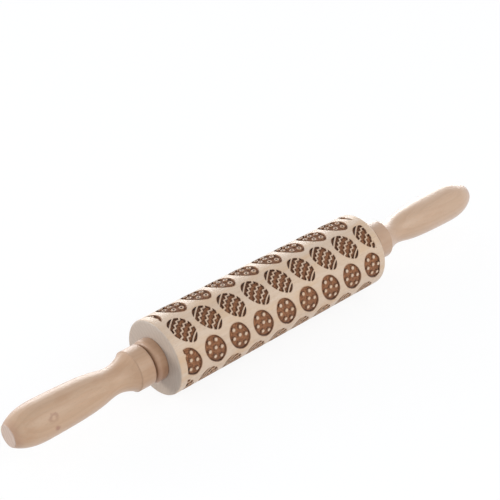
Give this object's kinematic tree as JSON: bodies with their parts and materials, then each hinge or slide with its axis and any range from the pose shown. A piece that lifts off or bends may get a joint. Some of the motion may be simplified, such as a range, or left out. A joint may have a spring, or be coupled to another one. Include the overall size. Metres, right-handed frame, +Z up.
{
  "type": "embossed rolling pin",
  "caption": "Wooden rolling pin whose barrel is cut with rows of decorated eggs, turning on a steel axle between two turned handles.",
  "frame": {"origin": "middle of the barrel, on the axle's centre line", "axes": "+X along the pin from the left handle to the right one, +Z up, +Y away from a viewer at the front"},
  "size_m": [0.352, 0.045, 0.045],
  "materials": {
    "barrel_wood": "fine-turned bare beech, with scorched brown floors in the cut eggs",
    "handle_wood": "turned and lightly oiled beech",
    "nylon": "natural, matt",
    "steel": "drawn rod"
  },
  "bodies": {
    "handles": {"axle_rod": "steel", "left_handle": "handle_wood", "right_handle": "handle_wood", "left_washer": "nylon", "right_washer": "nylon"},
    "roller": {"roller_barrel": "barrel_wood", "left_bush": "handle_wood", "right_bush": "handle_wood"}
  },
  "joints": [
    {"name": "barrel_spin", "type": "hinge", "parent": "handles", "child": "roller", "pos_m": [0, 0, 0], "axis": [1, 0, 0], "continuous": true}
  ]
}
